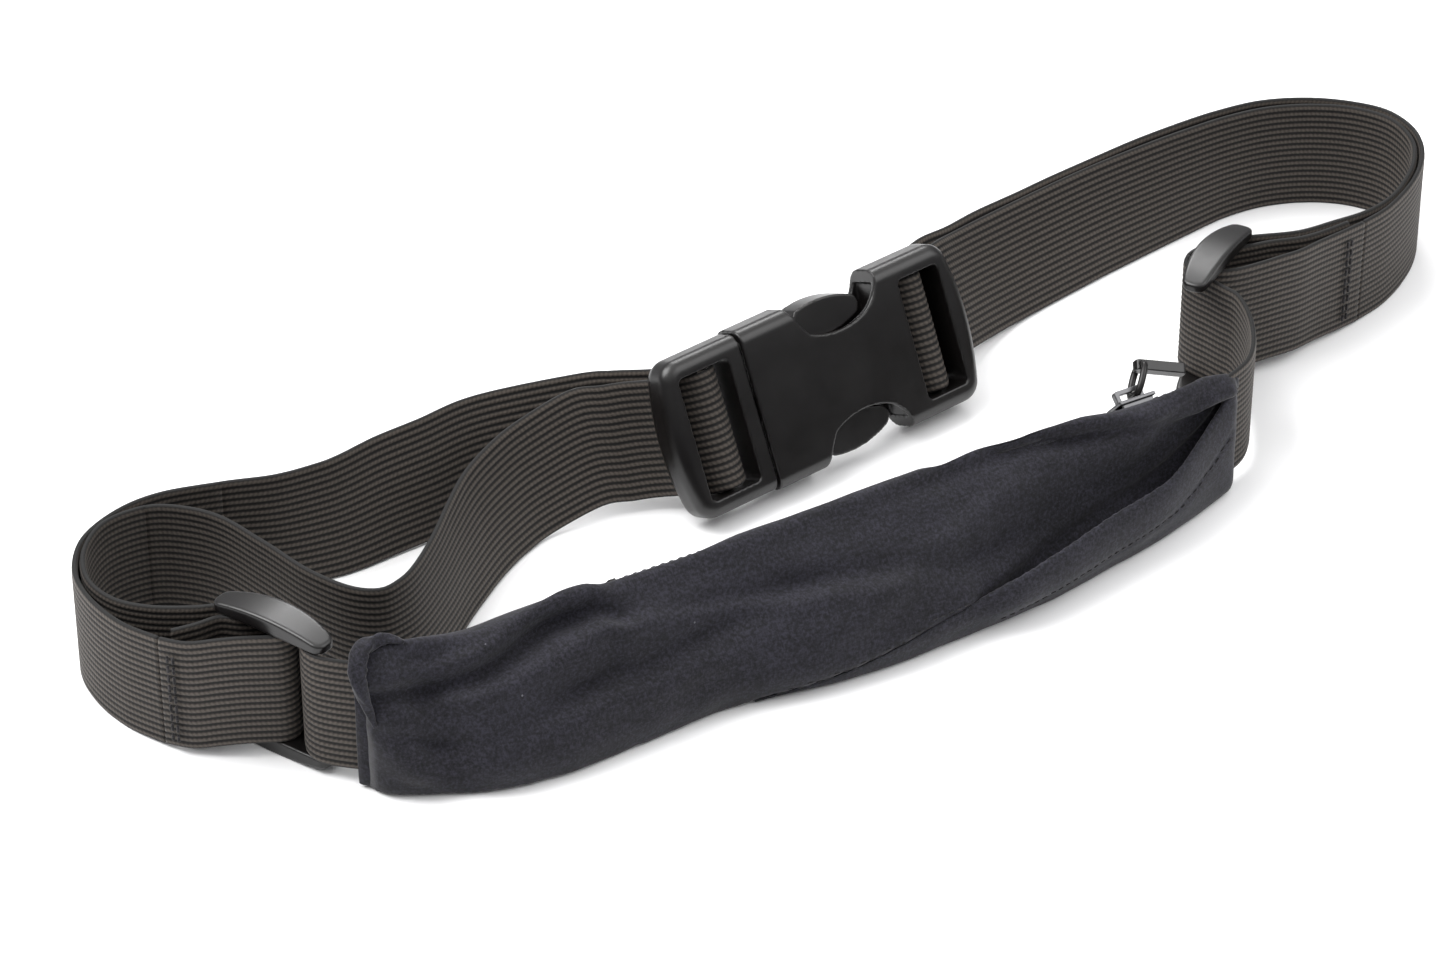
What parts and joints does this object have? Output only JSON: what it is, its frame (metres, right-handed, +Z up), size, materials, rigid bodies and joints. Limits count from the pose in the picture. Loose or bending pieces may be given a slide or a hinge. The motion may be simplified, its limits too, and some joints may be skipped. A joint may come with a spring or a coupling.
{
  "type": "money belt",
  "caption": "Folded waist belt with a zipped stretch pouch, two adjustable elastic straps and a side-release buckle.",
  "frame": {"origin": "on the floor plane, under the middle of the folded belt's bounding box", "axes": "+X along the pouch toward the zip's closed end, +Y from the pouch toward the buckle, +Z up; the webbing stands on its edge"},
  "size_m": [0.3238, 0.1098, 0.0348],
  "materials": {
    "webbing": "ribbed dark grey-brown elastic webbing",
    "shell_fabric": "navy-charcoal stretch knit, matt",
    "moulding": "black acetal, satin to semi-gloss",
    "thread": "spun polyester thread",
    "zip_tape": "woven zip tape",
    "zip_plastic": "moulded zip teeth",
    "zip_metal": "black-lacquered zinc"
  },
  "bodies": {
    "belt": {"female_body": "moulding", "left_strap_loop": "webbing", "left_strap_bend": "webbing", "left_strap_back": "webbing", "left_strap_threaded": "webbing", "left_strap_slack": "webbing", "right_buckle_loop": "webbing", "right_strap_back": "webbing", "right_strap_bend": "webbing", "right_strap_loop": "webbing", "right_strap_threaded": "webbing", "right_strap_inner": "webbing", "left_strap_stitches": "thread", "right_strap_stitches": "thread", "pouch_front_panel": "shell_fabric", "pouch_pocket_band": "shell_fabric", "pouch_back_panel": "shell_fabric", "zip_tape_upper": "zip_tape", "zip_tape_lower": "zip_tape", "zip_teeth_upper": "zip_plastic", "zip_teeth_lower": "zip_plastic", "zip_stops": "zip_metal"},
    "buckle_plug": {"male_frame": "moulding", "left_buckle_loop": "webbing"},
    "upper_arm": {"release_arm_upper": "moulding"},
    "lower_arm": {"release_arm_lower": "moulding"},
    "left_slide": {"left_adjuster": "moulding"},
    "right_slide": {"right_adjuster": "moulding"},
    "zip_runner": {"zip_slider": "zip_metal"},
    "zip_handle": {"zip_pull": "zip_metal", "zip_pull_tab": "moulding"}
  },
  "joints": [
    {"name": "buckle_release", "type": "slide", "parent": "belt", "child": "buckle_plug", "axis": [-0.986, -0.1668, 0], "range_m": [0, 0.036], "deforming": ["release_arm_upper", "release_arm_lower", "left_strap_back", "left_strap_slack"]},
    {"name": "upper_arm_press", "type": "hinge", "parent": "buckle_plug", "child": "upper_arm", "pos_m": [-0.01464, 0.01795, 0.02833], "axis": [-0.1511, 0.8936, -0.4226], "range_deg": [0, 9], "stiffness_Nm_per_rad": 0.6},
    {"name": "lower_arm_press", "type": "hinge", "parent": "buckle_plug", "child": "lower_arm", "pos_m": [-0.01305, 0.00854, 0.00785], "axis": [0.1511, -0.8936, 0.4226], "range_deg": [0, 9], "stiffness_Nm_per_rad": 0.6},
    {"name": "left_strap_adjust", "type": "slide", "parent": "belt", "child": "left_slide", "axis": [0.4226, -0.9063, 0], "range_m": [-0.006, 0.005], "deforming": ["left_strap_loop", "left_strap_threaded"]},
    {"name": "right_strap_adjust", "type": "slide", "parent": "belt", "child": "right_slide", "axis": [-0.8572, -0.515, 0], "range_m": [-0.006, 0.005], "deforming": ["right_strap_loop", "right_strap_threaded"]},
    {"name": "zip_travel", "type": "slide", "parent": "belt", "child": "zip_runner", "axis": [-1, 0, 0], "range_m": [-0.004, 0.112]},
    {"name": "zip_handle_swing", "type": "hinge", "parent": "zip_runner", "child": "zip_handle", "pos_m": [0.04813, -0.03177, 0.0266], "axis": [0, 0.6561, -0.7547], "range_deg": [-100, 8]}
  ]
}
